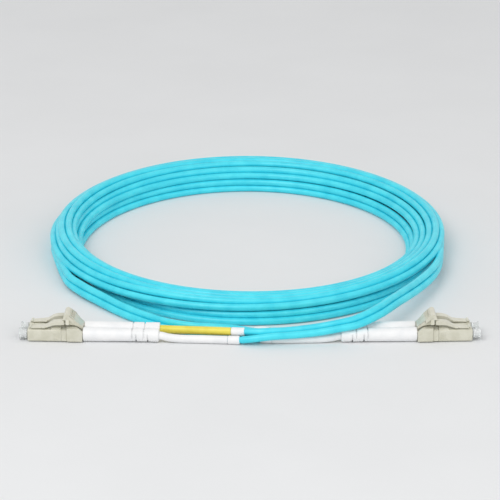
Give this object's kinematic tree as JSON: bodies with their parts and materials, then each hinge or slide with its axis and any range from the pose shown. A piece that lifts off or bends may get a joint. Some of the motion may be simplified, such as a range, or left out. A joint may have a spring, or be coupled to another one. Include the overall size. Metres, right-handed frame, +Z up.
{
  "type": "fiber optic patch cord",
  "caption": "Duplex fiber optic patch cord with square latched plugs at both ends, dust caps on, and its aqua twin cord wound in a coil.",
  "frame": {"origin": "on the ground, in the middle of the two plug ends, which lie in line", "axes": "+X towards the right end's nose, +Y towards the coil, +Z up"},
  "size_m": [0.1752, 0.1892, 0.0124],
  "materials": {
    "plug_plastic": "satin moulded beige",
    "white_plastic": "satin white",
    "yellow_plastic": "satin yellow",
    "aqua_jacket": "satin aqua cord jacket",
    "cap_plastic": "translucent white",
    "white_ceramic": "polished white ceramic",
    "nickel": "nickel plated",
    "fibre_buffer": "clear buffer"
  },
  "bodies": {
    "cord": {"coil": "aqua_jacket", "left_clip": "plug_plastic", "left_front_plug_housing": "plug_plastic", "left_front_rear_body": "plug_plastic", "left_front_crimp_sleeve": "nickel", "left_front_fibre": "fibre_buffer", "left_front_boot": "white_plastic", "left_front_ferrule_spring": "nickel", "left_front_leg": "aqua_jacket", "left_front_white_sleeve": "white_plastic", "left_front_collar": "white_plastic", "left_rear_plug_housing": "plug_plastic", "left_rear_rear_body": "plug_plastic", "left_rear_crimp_sleeve": "nickel", "left_rear_fibre": "fibre_buffer", "left_rear_boot": "white_plastic", "left_rear_ferrule_spring": "nickel", "left_rear_leg": "aqua_jacket", "left_rear_yellow_sleeve": "yellow_plastic", "left_rear_collar": "white_plastic", "right_clip": "plug_plastic", "right_front_plug_housing": "plug_plastic", "right_front_rear_body": "plug_plastic", "right_front_crimp_sleeve": "nickel", "right_front_fibre": "fibre_buffer", "right_front_boot": "white_plastic", "right_front_ferrule_spring": "nickel", "right_front_leg": "aqua_jacket", "right_front_white_sleeve": "white_plastic", "right_front_collar": "white_plastic", "right_rear_plug_housing": "plug_plastic", "right_rear_rear_body": "plug_plastic", "right_rear_crimp_sleeve": "nickel", "right_rear_fibre": "fibre_buffer", "right_rear_boot": "white_plastic", "right_rear_ferrule_spring": "nickel", "right_rear_leg": "aqua_jacket", "right_rear_yellow_sleeve": "yellow_plastic", "right_rear_collar": "white_plastic"},
    "left_trigger": {"left_trigger": "plug_plastic"},
    "left_dust_cap": {"left_dust_cap": "cap_plastic"},
    "left_front_latch": {"left_front_latch": "plug_plastic"},
    "left_front_ferrule": {"left_front_ferrule": "white_ceramic", "left_front_ferrule_holder": "nickel"},
    "left_rear_latch": {"left_rear_latch": "plug_plastic"},
    "left_rear_ferrule": {"left_rear_ferrule": "white_ceramic", "left_rear_ferrule_holder": "nickel"},
    "right_trigger": {"right_trigger": "plug_plastic"},
    "right_dust_cap": {"right_dust_cap": "cap_plastic"},
    "right_front_latch": {"right_front_latch": "plug_plastic"},
    "right_front_ferrule": {"right_front_ferrule": "white_ceramic", "right_front_ferrule_holder": "nickel"},
    "right_rear_latch": {"right_rear_latch": "plug_plastic"},
    "right_rear_ferrule": {"right_rear_ferrule": "white_ceramic", "right_rear_ferrule_holder": "nickel"}
  },
  "joints": [
    {"name": "left_trigger_hinge", "type": "hinge", "parent": "cord", "child": "left_trigger", "pos_m": [-0.06362, 0.00033, 0.005], "axis": [-0.0401, -0.9992, 0], "range_deg": [0, 9], "stiffness_Nm_per_rad": 0.01},
    {"name": "left_dust_cap_slide", "type": "slide", "parent": "cord", "child": "left_dust_cap", "axis": [-0.9992, 0.0401, 0], "range_m": [0, 0.015]},
    {"name": "left_front_latch_hinge", "type": "hinge", "parent": "cord", "child": "left_front_latch", "pos_m": [-0.08273, -0.00203, 0.0052], "axis": [0.0401, 0.9992, 0], "range_deg": [0, 5], "stiffness_Nm_per_rad": 0.004},
    {"name": "left_front_ferrule_slide", "type": "slide", "parent": "cord", "child": "left_front_ferrule", "axis": [0.9992, -0.0401, 0], "range_m": [0, 0.0008], "stiffness_N_per_m": 1500, "deforming": ["left_front_ferrule_spring"]},
    {"name": "left_rear_latch_hinge", "type": "hinge", "parent": "cord", "child": "left_rear_latch", "pos_m": [-0.08248, 0.00422, 0.0052], "axis": [0.0401, 0.9992, 0], "range_deg": [0, 5], "stiffness_Nm_per_rad": 0.004},
    {"name": "left_rear_ferrule_slide", "type": "slide", "parent": "cord", "child": "left_rear_ferrule", "axis": [0.9992, -0.0401, 0], "range_m": [0, 0.0008], "stiffness_N_per_m": 1500, "deforming": ["left_rear_ferrule_spring"]},
    {"name": "right_trigger_hinge", "type": "hinge", "parent": "cord", "child": "right_trigger", "pos_m": [0.06362, 0.00033, 0.005], "axis": [-0.0401, 0.9992, 0], "range_deg": [0, 9], "stiffness_Nm_per_rad": 0.01},
    {"name": "right_dust_cap_slide", "type": "slide", "parent": "cord", "child": "right_dust_cap", "axis": [0.9992, 0.0401, 0], "range_m": [0, 0.015]},
    {"name": "right_front_latch_hinge", "type": "hinge", "parent": "cord", "child": "right_front_latch", "pos_m": [0.08273, -0.00203, 0.0052], "axis": [0.0401, -0.9992, 0], "range_deg": [0, 5], "stiffness_Nm_per_rad": 0.004},
    {"name": "right_front_ferrule_slide", "type": "slide", "parent": "cord", "child": "right_front_ferrule", "axis": [-0.9992, -0.0401, 0], "range_m": [0, 0.0008], "stiffness_N_per_m": 1500, "deforming": ["right_front_ferrule_spring"]},
    {"name": "right_rear_latch_hinge", "type": "hinge", "parent": "cord", "child": "right_rear_latch", "pos_m": [0.08248, 0.00422, 0.0052], "axis": [0.0401, -0.9992, 0], "range_deg": [0, 5], "stiffness_Nm_per_rad": 0.004},
    {"name": "right_rear_ferrule_slide", "type": "slide", "parent": "cord", "child": "right_rear_ferrule", "axis": [-0.9992, -0.0401, 0], "range_m": [0, 0.0008], "stiffness_N_per_m": 1500, "deforming": ["right_rear_ferrule_spring"]}
  ],
  "couplings": [
    {"joint": "left_front_latch_hinge", "follows": "left_trigger_hinge", "ratio": 0.55555},
    {"joint": "left_rear_latch_hinge", "follows": "left_trigger_hinge", "ratio": 0.55555},
    {"joint": "right_front_latch_hinge", "follows": "right_trigger_hinge", "ratio": 0.55555},
    {"joint": "right_rear_latch_hinge", "follows": "right_trigger_hinge", "ratio": 0.55555}
  ]
}
